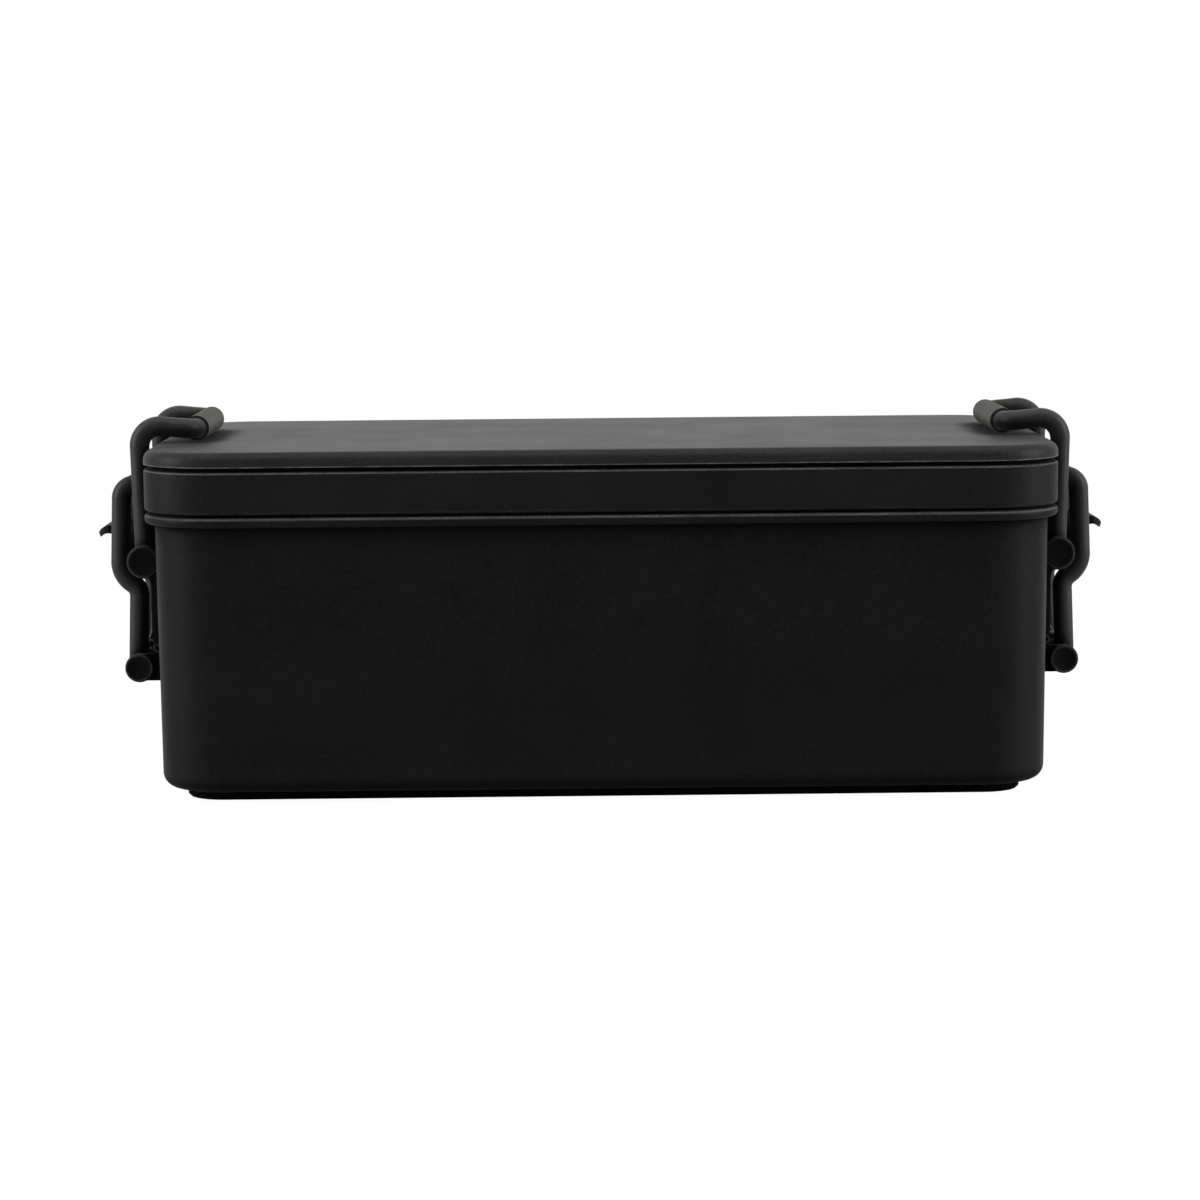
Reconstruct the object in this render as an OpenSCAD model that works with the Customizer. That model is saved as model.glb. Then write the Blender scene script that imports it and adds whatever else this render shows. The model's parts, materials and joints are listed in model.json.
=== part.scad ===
// Metal lunch box with a lift-out tray, a flat lid and a wire latch at each end.
// X runs along the box, the latches are at +X and -X, Y runs across it and Z is up.
// The origin is in the middle of the footprint, on the surface that the box rests on.
// Round-the-box pieces are drawn as one section: [inset from the outline, height].

/* [Box] */
// Length of the lid, the tray collar and the rolled rim
box_l = 190; // [150:1:260]
// Width of the lid, the tray collar and the rolled rim
box_w = 102; // [80:1:150]
// Corner radius of the lid, the collar and the rim, seen from above
corner_r = 16; // [13:0.5:24]
// Height from the resting surface to the top of the rolled rim
rim_top = 59.5; // [52:0.1:100]
// Thickness of the steel sheet
sheet_t = 0.8; // [0.6:0.05:1]
// Height of the rolled rim
rim_h = 2.1; // [1.6:0.1:2.6]
// How far the container wall stands in from the rolled rim
wall_inset = 2.1; // [1.8:0.1:3]
// Draft of the container and tray walls, in degrees
wall_draft = 0.6; // [0:0.1:1.5]
// Outside radius between the container wall and its floor
floor_r = 3; // [2:0.1:5]

/* [Foot] */
// Height of the rubber foot ring
foot_h = 2.1; // [1:0.1:4]
// How far the foot ring stands in from the outline
foot_inset = 7.8; // [6:0.1:9]
// Width of the foot ring
foot_w = 7; // [4:0.5:8]

/* [Tray] */
// Height of the collar round the tray
collar_h = 8.8; // [6:0.1:14]
// Radius of the collar's edges
collar_edge_r = 0.7; // [0.3:0.05:1.2]
// How far the tray wall stands in from the outline
tray_inset = 5.4; // [5:0.1:5.9]
// Depth of the tray, from its mouth to the underside of its floor
tray_depth = 28; // [18:0.5:40]
// Outside radius between the tray wall and its floor
tray_floor_r = 4; // [2:0.1:5]

/* [Lid] */
// Height of the lid's edge
lid_h = 3.1; // [2.6:0.1:6]
// Radius of the lid's upper edge
lid_edge_r = 2.2; // [1.2:0.1:2.6]
// Open height between the lid and the collar
lid_gap = 0.9; // [0.5:0.1:2]
// Depth of the rib that centres the lid in the tray, below the lid's upper skin
lid_rib_h = 6; // [5:0.1:10]
// Clearance between that rib and the tray wall
lid_rib_gap = 0.4; // [0.2:0.05:0.8]

/* [Seals] */
// Thickness of the flat seal on the rolled rim
rim_seal_t = 0.5; // [0.3:0.05:1.5]
// How far both seals stand in from the outline
seal_inset = 1; // [0.8:0.05:1.3]
// Width of the lid seal
lid_seal_w = 4.2; // [3:0.1:4.4]

/* [Latch wire] */
// Diameter of the wire of the bail and of the finger lever
wire_d = 4.2; // [3.2:0.1:5]
// Distance between the two arms of a bail, from centre to centre
bail_w = 37.6; // [34:0.2:50]
// Distance from the end of the lid out to a bail arm, at the height of its pin
bail_gap = 0.1; // [0:0.1:1.5]
// Outward lean of the bail's upright arms, in degrees
bail_lean = 1.5; // [1:0.1:3]
// Radius of the bend at the top of a bail's upright arms, to the middle of the wire
bail_top_r = 4.3; // [3:0.1:5]
// Radius of the bail's corners beside the roller, to the middle of the wire
bail_bend_r = 3.2; // [3:0.1:4]
// Slope of the bail's upper arms down to the roller, in degrees
bail_slope = 5.5; // [3:0.5:12]
// How far the roller's axis stands in from the end of the lid
roller_in = 9; // [8.5:0.1:14]
// Outside diameter of the roller
roller_d = 5.4; // [5.2:0.1:8]
// Distance between the ribs of the roller
rib_pitch = 1; // [0.8:0.1:2]
// Depth of the grooves between the ribs
rib_depth = 0.18; // [0.1:0.02:0.25]

/* [Finger lever] */
// How far the lever's pin stands out from the bail's pin
lever_out = 1.95; // [0.5:0.05:2.5]
// Inward lean of the lever's arms, in degrees
lever_lean = 2; // [0:0.1:2.5]
// How far outside the middle of its pin an arm meets its eye
lever_set = 0.7; // [0.3:0.05:0.8]
// Height from the lever's pin to the start of the sideways step in its arms
step_start = 15.1; // [11:0.1:16]
// Sideways step in the arms, which clears the bail's pin
step_out = 4.1; // [2.8:0.1:6]
// Angle of the step, in degrees
step_angle = 55; // [40:1:65]
// Height from the lever's pin to the bend at the top of its arms
lever_h = 36; // [34:0.1:39]
// Radius of the bend at the top of the arms, to the middle of the wire
lever_bend_r = 3; // [2.6:0.1:3.6]
// Angle of that bend, in degrees
lever_bend = 68; // [60:1:85]
// Width of the finger tab's lip
tab_w = 19; // [14:0.5:22]
// Thickness of the finger tab
tab_t = 1.5; // [1:0.1:2]
// Height from the lever's pin to the top of the tab's lip
tab_top = 29.8; // [27:0.1:32]
// Length of the plate below the lip
tab_plate = 6.5; // [4:0.1:9]

/* [Pins and bracket] */
// Diameter of the hinge pins
pin_d = 3; // [2.4:0.1:3.2]
// Running clearance of the eyes and ears round the pins, on the radius
pin_gap = 0.05; // [0.03:0.01:0.08]
// Diameter of the heads of the bail's pin
bail_head_d = 7.1; // [6:0.1:8]
// Diameter of the heads of the lever's pin
lever_head_d = 6.2; // [5.6:0.1:7]
// Thickness of the pin heads
head_t = 1.5; // [1:0.1:2]
// Depth of the dish in the face of each pin head
dish = 0.45; // [0.2:0.05:0.8]
// Height of the bail's pin below the top of the rolled rim
bail_pin_drop = 11.8; // [11:0.1:13]
// Distance in height between the bail's pin and the lever's pin
pin_pitch = 23.3; // [22:0.1:26]
// Thickness of the bracket's sheet
ear_t = 1; // [0.8:0.05:1.2]
// Gap in the direction of the pins between eyes, ears and heads
side_gap = 0.2; // [0.1:0.05:0.3]
// How far the bracket stands out from the end of the lid between its two lobes
strip_out = 1.4; // [0.8:0.1:1.8]

/* [Spring] */
// Diameter of the spring wire
spring_d = 0.8; // [0.6:0.05:0.9]
// Number of turns of each coil
spring_turns = 3; // [2:1:6]
// Outside diameter of the tube that anchors the springs
anchor_d = 1.9; // [1.6:0.1:2.4]

/* [Hidden] */

$fn = 48;
LEFT = -1;
RIGHT = 1;

// The box
half_l = box_l / 2;
half_w = box_w / 2;
slab_overlap = 1;                   // how far a flat middle reaches into the ring round it
ring_hole = 2;                      // corner radius left in the middle of a ring's floor
floor_reach = corner_r - ring_hole; // how far a ring's floor reaches in from the outline
rim_under = rim_top - rim_h;
rim_round = 0.9;                    // radius of the outer edges of the rolled rim
collar_z0 = rim_top + rim_seal_t;
collar_z1 = collar_z0 + collar_h;
lid_z0 = collar_z1 + lid_gap;
lid_top = lid_z0 + lid_h;
lid_skin = lid_top - sheet_t;
lid_rib_inset = tray_inset + sheet_t + lid_rib_gap;
rim_seal_in = wall_inset + sheet_t; // the seal on the rim reaches in to the wall's inner face
collar_lip = 3.4;                   // width of the collar's lower lip, which rests on the seal

// The latch, at +X
wire_r = wire_d / 2;
lap = 0.25;                         // how far a straight stretch of wire runs into a bend
drawn = 0.02;                       // straight stretches are drawn this much thinner, on the radius
between = 0.5;                      // straight wire between two bends that follow each other
bail_half = bail_w / 2;
bail_x = half_l + bail_gap + wire_r;
bail_pin_z = rim_top - bail_pin_drop;
lever_x = bail_x + lever_out;
lever_z = bail_pin_z - pin_pitch;
upper_x = lever_x + step_out;       // the lever's arms above the step
lever_bend_z = lever_z + lever_h;
lever_tilt = 90 - lever_bend;       // the arms end at this slope, where they turn to the bar
lever_end_x = upper_x - lever_bend_r + lever_bend_r * cos(lever_bend);
lever_end_z = lever_bend_z + lever_bend_r * sin(lever_bend);
lever_corner_x = lever_end_x - between * cos(lever_tilt);
lever_corner_z = lever_end_z + between * sin(lever_tilt);
seat_gap = 0.12;                    // the roller stands this far off the lid
roller_x = half_l - roller_in;
roller_z = lid_top + seat_gap + roller_d / 2;
ear_y1 = bail_half - wire_r - side_gap;
ear_y0 = ear_y1 - ear_t;
lever_half = ear_y0 - side_gap - wire_r;
eye_wall = 1.45;                    // metal round the pin in each eye
eye_press = 0.4;                    // the eyes are pressed this much flatter than the wire
eye_t = wire_d - eye_press;
bore_r = pin_d / 2 + pin_gap;
eye_r = bore_r + eye_wall;
eye_weld = 1.1;                     // how far the wire runs into the eye, short of its bore
wire_start = eye_r - eye_weld;
bail_head_y = bail_half + wire_r + side_gap;
lever_head_y = ear_y1 + side_gap / 2;
plate_gap = 0.05;                   // weld line between the bracket and the wall
bead_gap = 0.3;                     // the bracket ends this far below the rolled rim
plate_top = rim_under - bead_gap;
ear_top_out = 0.2;                  // the ears' upper corner stands out from the end of the lid
ear_drop = 2.9;                     // the ears end this far below the lever's pin
ear_bottom = lever_z - ear_drop;
ear_root = 0.6;                     // how far the ears reach into the back plate
strip_x = half_l + strip_out;
strip_rise = 6.5;                     // the ears' straight edge starts this far above the lever's pin
strip_l = 10.8;                     // length of that edge
strip_z0 = lever_z + strip_rise;
strip_z1 = strip_z0 + strip_l;
flare_r = 3.5;                      // the curve from that edge out to the bail's pin
ear_edge = 0.2;                     // how far a round lobe stands past its eye or short of its head
bail_ear_r = eye_r + ear_edge;
lever_ear_r = lever_head_d / 2 - ear_edge;
anchor_out = 0.3;                   // the anchor tube stands out from the end of the lid
anchor_rise = 4.2;                  // height of the anchor tube above the lever's pin
anchor_x = half_l + anchor_out;
anchor_z = lever_z + anchor_rise;
anchor_wall = 0.4;                  // metal round the anchor tube in the ears
anchor_ear_r = anchor_d / 2 + anchor_wall;
anchor_end = 0.6;                   // how far the anchor tube stands out of the ears

// Outer face of the container's end wall at a height
function wall_x(z) = half_l - wall_inset - (rim_under - z) * tan(wall_draft);

// Points of an arc, from angle a0 to angle a1
function arc(cx, cy, r, a0, a1, n = 6) =
    [for (i = [0 : n]) [cx + r * cos(a0 + (a1 - a0) * i / n), cy + r * sin(a0 + (a1 - a0) * i / n)]];

// Inset of a drafted wall's outer face at a height, from its inset at a higher one
function drafted(inset, top, z) = inset + (top - z) * tan(wall_draft);

// A section swept round the box's outline
module around(section) {
    points = [for (p = section) [corner_r - p[0], p[1]]];
    for (k = [0 : 3]) {
        reach = (k % 2 == 0 ? half_l : half_w) - corner_r;
        side = (k % 2 == 0 ? half_w : half_l) - corner_r;
        rotate([0, 0, 90 * k]) {
            translate([reach, side, 0]) rotate([90, 0, 0]) linear_extrude(2 * side) polygon(points);
            translate([reach, side, 0]) rotate_extrude(angle = 90) polygon(points);
        }
    }
}

// A flat plate with the box's rounded outline, less an inset
module plate(inset, z0, z1) {
    r = corner_r - inset;
    l = half_l - inset;
    w = half_w - inset;
    translate([0, 0, z0]) linear_extrude(z1 - z0) union() {
        square([2 * l, 2 * (w - r)], center = true);
        square([2 * (l - r), 2 * w], center = true);
        for (sx = [-1, 1], sy = [-1, 1]) translate([sx * (l - r), sy * (w - r)]) circle(r);
    }
}

// ---------------------------------------------------------------- container

module container() {
    wall_in = wall_inset + sheet_t;
    floor_in = drafted(wall_inset, rim_under, foot_h + floor_r);
    inner_r = floor_r - sheet_t;
    section = concat(
        [[floor_reach, foot_h]],
        arc(floor_in + floor_r, foot_h + floor_r, floor_r, 270, 180, 8),
        [[wall_inset, rim_under]],
        arc(rim_round, rim_under + rim_round, rim_round, 270, 180),
        arc(rim_round, rim_top - rim_round, rim_round, 180, 90),
        [[wall_in, rim_top], [wall_in, rim_under]],
        arc(floor_in + sheet_t + inner_r, foot_h + sheet_t + inner_r, inner_r, 180, 270, 8),
        [[floor_reach, foot_h + sheet_t]]
    );
    color([0.09, 0.09, 0.09]) union() {
        around(section);
        plate(floor_reach - slab_overlap, foot_h, foot_h + sheet_t);
    }
}

module foot_ring() {
    chamfer = 0.5;
    inner = foot_inset + foot_w;
    color([0.03, 0.03, 0.03]) around([
        [foot_inset, foot_h], [foot_inset, chamfer], [foot_inset + chamfer, 0],
        [inner - chamfer, 0], [inner, chamfer], [inner, foot_h]
    ]);
}

// ---------------------------------------------------------------- tray and seals

module rim_seal() {
    color([0.02, 0.02, 0.02]) around([
        [seal_inset, rim_top], [seal_inset, collar_z0], [rim_seal_in, collar_z0], [rim_seal_in, rim_top]
    ]);
}

module tray() {
    r = collar_edge_r;
    tray_z0 = collar_z1 - tray_depth;
    floor_in = drafted(tray_inset, collar_z1, tray_z0 + tray_floor_r);
    inner_r = tray_floor_r - sheet_t;
    mouth = tray_inset + sheet_t;
    section = concat(
        [[collar_lip, collar_z0]],
        arc(r, collar_z0 + r, r, 270, 180, 4),
        arc(r, collar_z1 - r, r, 180, 90, 4),
        arc(mouth - r / 2, collar_z1 - r / 2, r / 2, 90, 0, 4),
        arc(floor_in + sheet_t + inner_r, tray_z0 + sheet_t + inner_r, inner_r, 180, 270, 8),
        [[floor_reach, tray_z0 + sheet_t], [floor_reach, tray_z0]],
        arc(floor_in + tray_floor_r, tray_z0 + tray_floor_r, tray_floor_r, 270, 180, 8),
        [[tray_inset, collar_z1 - sheet_t], [sheet_t, collar_z1 - sheet_t]],
        [[sheet_t, collar_z0 + sheet_t], [collar_lip, collar_z0 + sheet_t]]
    );
    color([0.1, 0.1, 0.1]) union() {
        around(section);
        plate(floor_reach - slab_overlap, tray_z0, tray_z0 + sheet_t);
    }
}

module lid_seal() {
    clear = 0.2;
    inner = seal_inset + lid_seal_w;
    shoulder = lid_edge_r - sheet_t + clear;
    color([0.02, 0.02, 0.02]) around([
        [seal_inset, collar_z1], [seal_inset, lid_skin - shoulder], [seal_inset + shoulder, lid_skin],
        [inner, lid_skin], [inner, collar_z1]
    ]);
}

// ---------------------------------------------------------------- lid

module lid() {
    inner_r = lid_edge_r - sheet_t;
    section = concat(
        [[0, lid_z0]],
        arc(lid_edge_r, lid_top - lid_edge_r, lid_edge_r, 180, 90, 8),
        [[floor_reach, lid_top], [floor_reach, lid_skin]],
        [[lid_rib_inset + sheet_t, lid_skin], [lid_rib_inset + sheet_t, lid_top - lid_rib_h]],
        [[lid_rib_inset, lid_top - lid_rib_h], [lid_rib_inset, lid_skin]],
        arc(lid_edge_r, lid_top - lid_edge_r, inner_r, 90, 180, 6),
        [[sheet_t, lid_z0]]
    );
    color([0.16, 0.16, 0.16]) union() {
        around(section);
        plate(floor_reach - slab_overlap, lid_skin, lid_top);
    }
}

// ---------------------------------------------------------------- latch

// Places a latch piece, drawn at +X, at either end
module at_end(side) {
    mirror([side < 0 ? 1 : 0, 0, 0]) children();
}

// Both halves of a piece that is drawn for -Y
module both_halves() {
    children();
    mirror([0, 1, 0]) children();
}

// A cylinder along Y, from y0 to y1
module rod_y(x, z, r, y0, y1) {
    translate([x, y0, z]) rotate([-90, 0, 0]) cylinder(h = y1 - y0, r = r);
}

// An outline in X and Z, extruded along Y from y0 to y1
module slab_y(y0, y1) {
    translate([0, y1, 0]) rotate([90, 0, 0]) linear_extrude(y1 - y0) children();
}

// A straight stretch of wire along +Z, which laps into the bends at its ends
module run(length) {
    translate([0, 0, -lap]) cylinder(h = length + 2 * lap, r = wire_r - drawn);
}

// A bend of round wire in the plane of X and Z, from angle a0 over a sweep
module bend_xz(x, y, z, r, a0, sweep) {
    translate([x, y, z]) rotate([90, 0, 0]) rotate([0, 0, a0])
        rotate_extrude(angle = sweep) translate([r, 0]) circle(wire_r);
}

// Turns +Z to the direction (-cos(slope), 0, -sin(slope))
module inward(slope) {
    rotate([0, -90 - slope, 0]) children();
}

// The corner of a wire that turns from an inward slope to the direction +Y
module corner_to_y(x, y, z, r, slope) {
    translate([x, y, z]) rotate([0, 180 - slope, 0]) rotate([0, 0, -90])
        rotate_extrude(angle = 90) translate([r, 0]) circle(wire_r);
}

// One side of the bail: an eye, an upright arm and a sloping arm
module bail_arm() {
    // From the pin to the bend the arm leans out, so that the sloping arm then meets the roller
    bend_dx = bail_top_r * (cos(bail_lean) + sin(bail_slope));
    bend_dz = bail_top_r * (sin(bail_lean) + cos(bail_slope));
    reach_x = bail_x - roller_x - bend_dx;
    reach_z = roller_z - bail_pin_z - bend_dz;
    upright = (reach_z + reach_x * tan(bail_slope)) / (cos(bail_lean) - sin(bail_lean) * tan(bail_slope));
    bend_x = bail_x + upright * sin(bail_lean) - bail_top_r * cos(bail_lean);
    bend_z = bail_pin_z + upright * cos(bail_lean) + bail_top_r * sin(bail_lean);
    slope_x = bend_x - bail_top_r * sin(bail_slope);
    slope_z = bend_z + bail_top_r * cos(bail_slope);
    straight = (slope_x - roller_x) / cos(bail_slope) - bail_bend_r;
    corner_x = roller_x + bail_bend_r * cos(bail_slope);
    corner_z = roller_z + bail_bend_r * sin(bail_slope);
    difference() {
        union() {
            rod_y(bail_x, bail_pin_z, eye_r, -bail_half - eye_t / 2, -bail_half + eye_t / 2);
            translate([bail_x, -bail_half, bail_pin_z]) rotate([0, bail_lean, 0])
                translate([0, 0, wire_start]) run(upright - wire_start);
            bend_xz(bend_x, -bail_half, bend_z, bail_top_r, -bail_lean, 90 + bail_slope + bail_lean);
            translate([slope_x, -bail_half, slope_z]) inward(bail_slope) run(straight);
            corner_to_y(corner_x, -bail_half + bail_bend_r, corner_z, bail_bend_r, bail_slope);
        }
        rod_y(bail_x, bail_pin_z, bore_r, -bail_half - wire_d, -bail_half + wire_d);
    }
}

module bail(side) {
    bar_half = bail_half - bail_bend_r;
    color([0.13, 0.13, 0.13]) at_end(side) {
        both_halves() bail_arm();
        translate([roller_x, -bar_half, roller_z]) rotate([-90, 0, 0]) run(2 * bar_half);
    }
}

module roller(side) {
    half = bail_half - bail_bend_r - side_gap;
    ribs = floor(2 * half / rib_pitch) - 1;
    start = -ribs * rib_pitch / 2;
    r = roller_d / 2;
    bore = wire_r + pin_gap;
    groove_x = [0.3, 0.45, 0.85, 1];    // edges and floor of a groove, as shares of the pitch
    groove_r = [r, r - rib_depth, r - rib_depth, r];
    grooves = [for (i = [0 : ribs - 1], k = [0 : 3]) [groove_r[k], start + (i + groove_x[k]) * rib_pitch]];
    section = concat([[bore, -half], [r, -half]], grooves, [[r, half], [bore, half]]);
    color([0.2, 0.2, 0.19]) at_end(side)
        translate([roller_x, 0, roller_z]) rotate([-90, 0, 0]) rotate_extrude() polygon(section);
}

// A pin along Y with a dished head at each end
module headed_pin(x, z, head_r, head_y) {
    edge_r = 0.4;
    steps = 5;
    face = head_y + head_t;
    dish_r = head_r - edge_r;
    dished = [for (i = [0 : steps]) [dish_r * i / steps, face - dish * (1 - pow(i / steps, 2))]];
    half = concat(
        dished,
        arc(head_r - edge_r, face - edge_r, edge_r, 90, 0, 4),
        [[head_r, head_y], [pin_d / 2, head_y], [pin_d / 2, 0], [0, 0]]
    );
    translate([x, 0, z]) both_halves()
        rotate([90, 0, 0]) rotate_extrude() polygon(half);
}

module bail_pin(side) {
    color([0.1, 0.1, 0.1]) at_end(side) headed_pin(bail_x, bail_pin_z, bail_head_d / 2, bail_head_y);
}

module lever_pin(side) {
    color([0.1, 0.1, 0.1]) at_end(side) headed_pin(lever_x, lever_z, lever_head_d / 2, lever_head_y);
}

module anchor_tube(side) {
    r = anchor_d / 2;
    reach = ear_y1 + anchor_end;
    color([0.12, 0.12, 0.12]) at_end(side) difference() {
        rod_y(anchor_x, anchor_z, r, -reach, reach);
        rod_y(anchor_x, anchor_z, r / 2, -2 * reach, 2 * reach);
    }
}

// Outline of one ear of the bracket, in X and Z
module ear_outline() {
    flare_x = strip_x + flare_r;
    lever_lobe_top = lever_z + lever_ear_r;
    polygon(concat(
        [[wall_x(ear_bottom) + ear_root, ear_bottom], [lever_x, ear_bottom], [lever_x, lever_lobe_top]],
        [[anchor_x, lever_lobe_top], [strip_x, strip_z0]],
        arc(flare_x, strip_z1, flare_r, 180, 125),
        [[bail_x, bail_pin_z], [bail_x, bail_pin_z + bail_ear_r]],
        [[half_l + ear_top_out, plate_top], [wall_x(plate_top) + ear_root, plate_top]]
    ));
    translate([lever_x, lever_z]) circle(lever_ear_r);
    translate([anchor_x, anchor_z]) circle(anchor_ear_r);
    translate([bail_x, bail_pin_z]) circle(bail_ear_r);
}

module bracket(side) {
    color([0.11, 0.11, 0.11]) at_end(side) difference() {
        union() {
            slab_y(-ear_y1, ear_y1) polygon([
                for (corner = [[ear_bottom, 0], [ear_bottom, ear_t], [plate_top, ear_t], [plate_top, 0]])
                    [wall_x(corner[0]) + plate_gap + corner[1], corner[0]]
            ]);
            both_halves() slab_y(-ear_y1, -ear_y0) ear_outline();
        }
        rod_y(bail_x, bail_pin_z, bore_r, -bail_half, bail_half);
        rod_y(lever_x, lever_z, bore_r, -bail_half, bail_half);
        rod_y(anchor_x, anchor_z, anchor_d / 2 + pin_gap, -bail_half, bail_half);
    }
}

// Leans the lever's wire and tab in about the lever's pin, and sets them out from it
module leaned() {
    translate([lever_x, 0, lever_z]) rotate([0, -lever_lean, 0])
        translate([lever_set - lever_x, 0, -lever_z]) children();
}

// One side of the finger lever: an eye and an arm with a sideways step
module lever_arm() {
    radii = (step_out - between * sin(step_angle)) / (1 - cos(step_angle));
    lower_share = 0.35;                 // the lower bend of the step is the tighter one
    step_r0 = lower_share * radii;
    step_r1 = radii - step_r0;
    step_z0 = lever_z + step_start;
    step_z1 = step_z0 + radii * sin(step_angle) + between * cos(step_angle);
    slant_x = lever_x + step_r0 * (1 - cos(step_angle));
    slant_z = step_z0 + step_r0 * sin(step_angle);
    y = -lever_half;
    difference() {
        union() {
            rod_y(lever_x, lever_z, eye_r, y - eye_t / 2, y + eye_t / 2);
            leaned() {
                translate([lever_x, y, lever_z + wire_start]) run(step_start - wire_start);
                bend_xz(lever_x + step_r0, y, step_z0, step_r0, 180, -step_angle);
                translate([slant_x, y, slant_z]) rotate([0, step_angle, 0]) run(between);
                bend_xz(upper_x - step_r1, y, step_z1, step_r1, 0, -step_angle);
                translate([upper_x, y, step_z1]) run(lever_bend_z - step_z1);
                bend_xz(upper_x - lever_bend_r, y, lever_bend_z, lever_bend_r, 0, lever_bend);
                translate([lever_end_x, y, lever_end_z]) inward(-lever_tilt) run(between);
                corner_to_y(lever_corner_x, y + lever_bend_r, lever_corner_z, lever_bend_r, -lever_tilt);
            }
        }
        rod_y(lever_x, lever_z, bore_r, y - wire_d, y + wire_d);
    }
}

module lever(side) {
    bar_half = lever_half - lever_bend_r;
    bar_x = lever_corner_x - lever_bend_r * cos(lever_tilt);
    bar_z = lever_corner_z + lever_bend_r * sin(lever_tilt);
    color([0.13, 0.13, 0.13]) at_end(side) {
        both_halves() lever_arm();
        leaned() translate([bar_x, -bar_half, bar_z]) rotate([-90, 0, 0]) run(2 * bar_half);
    }
}

module finger_tab(side) {
    over_r = 3.4;                       // radius of the lip's upper face
    under_r = 2.4;                      // radius of its hollow underside
    under_drop = 0.8;                   // the hollow's centre lies lower, so the lip tapers to its edge
    over_end = 28;                      // both faces start upright at 180 degrees and end here
    under_end = 38;
    lip_round = 3;                      // rounding of the lip's corners, seen from above
    weld_gap = 0.05;
    plate_half = lever_half - wire_r - weld_gap;
    back_x = upper_x - tab_t / 2;
    over_x = back_x + over_r;
    over_z = lever_z + tab_top - over_r;
    under_x = back_x + tab_t + under_r;
    tip_x = over_x + over_r * cos(over_end);
    round_x = tip_x - lip_round;
    color([0.12, 0.12, 0.12]) at_end(side) leaned() {
        slab_y(-plate_half, plate_half)
            translate([back_x, over_z - tab_plate]) square([tab_t, tab_plate]);
        intersection() {
            slab_y(-tab_w / 2, tab_w / 2) polygon(concat(
                arc(over_x, over_z, over_r, 180, over_end, 10),
                arc(under_x, over_z - under_drop, under_r, under_end, 180, 8)
            ));
            translate([0, 0, over_z - 2 * under_drop]) linear_extrude(2 * over_r) union() {
                translate([back_x - tab_t, -tab_w / 2]) square([round_x - back_x + tab_t, tab_w]);
                translate([round_x - tab_t, lip_round - tab_w / 2])
                    square([lip_round + tab_t, tab_w - 2 * lip_round]);
                for (s = [-1, 1]) translate([round_x, s * (tab_w / 2 - lip_round)]) circle(lip_round);
            }
        }
    }
}

// ---------------------------------------------------------------- springs

coil_r = 2.6;                       // radius of the coils, to the middle of the wire
coil_gap = 0.1;                     // open space between the turns, and beside the lever's arm
ring_sides = 6;
steps_per_turn = 14;
leg_angle = 170;                    // where the leg to the anchor tube leaves the coil
hook_gap = 0.05;                    // open space between the hook and the anchor tube
leg_low = 4.5;                      // the other leg lies beside the lever's arm from this far above its pin
leg_top = 9;                        // and ends this far above it, tacked to the arm
leg_out = 0.6;                      // it lies this far out from the lever's pin
leg_y = lever_half - wire_r - spring_d / 2 - coil_gap;
hook_r = anchor_d / 2 + spring_d / 2 + hook_gap;

// Centre line of one spring: a hook over the anchor, the coil, and a leg along the lever's arm
function spring_path() =
    let (pitch = spring_d + coil_gap,
        sweep = 360 * spring_turns + 360 - leg_angle,
        y0 = leg_y - sweep / 360 * pitch,
        n = ceil(sweep / 360 * steps_per_turn),
        leg_x = lever_x + leg_out)
    concat(
        [for (a = [100 : -22 : 12]) [anchor_x + hook_r * cos(a), y0, anchor_z + hook_r * sin(a)]],
        [for (i = [0 : n]) let (a = leg_angle + sweep * i / n)
            [lever_x + coil_r * cos(a), y0 + sweep / 360 * pitch * i / n, lever_z + coil_r * sin(a)]],
        [[leg_x, leg_y, lever_z + leg_low], [leg_x, leg_y, lever_z + leg_top]]
    );

// A round wire along a path, as one closed skin
module wire_along(path, r) {
    last = len(path) - 1;
    rings = [for (i = [0 : last])
        let (t = path[min(i + 1, last)] - path[max(i - 1, 0)],
            dir = t / norm(t),
            side = cross(dir, abs(dir[1]) > 0.9 ? [1, 0, 0] : [0, 1, 0]),
            u = side / norm(side),
            v = cross(dir, u))
        for (k = [0 : ring_sides - 1])
            path[i] + r * (u * cos(360 * k / ring_sides) + v * sin(360 * k / ring_sides))];
    skin = [for (i = [0 : last - 1], k = [0 : ring_sides - 1])
        let (a = i * ring_sides + k, b = i * ring_sides + (k + 1) % ring_sides)
        [a, a + ring_sides, b + ring_sides, b]];
    start_cap = [for (k = [0 : ring_sides - 1]) k];
    end_cap = [for (k = [ring_sides - 1 : -1 : 0]) last * ring_sides + k];
    polyhedron(points = rings, faces = concat(skin, [start_cap], [end_cap]), convexity = 8);
}

module springs(side) {
    color([0.25, 0.25, 0.25]) at_end(side) both_halves() mirror([0, 1, 0])
        wire_along(spring_path(), spring_d / 2);
}

// ---------------------------------------------------------------- assembly

container();
foot_ring();
rim_seal();
tray();
lid_seal();
lid();

bracket(LEFT);  // left_bracket
bail(LEFT);  // left_bail
roller(LEFT);  // left_roller
bail_pin(LEFT);  // left_bail_pin
lever(LEFT);  // left_lever
finger_tab(LEFT);  // left_finger_tab
lever_pin(LEFT);  // left_lever_pin
anchor_tube(LEFT);  // left_anchor_tube
springs(LEFT);  // left_springs

bracket(RIGHT);  // right_bracket
bail(RIGHT);  // right_bail
roller(RIGHT);  // right_roller
bail_pin(RIGHT);  // right_bail_pin
lever(RIGHT);  // right_lever
finger_tab(RIGHT);  // right_finger_tab
lever_pin(RIGHT);  // right_lever_pin
anchor_tube(RIGHT);  // right_anchor_tube
springs(RIGHT);  // right_springs
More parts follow.
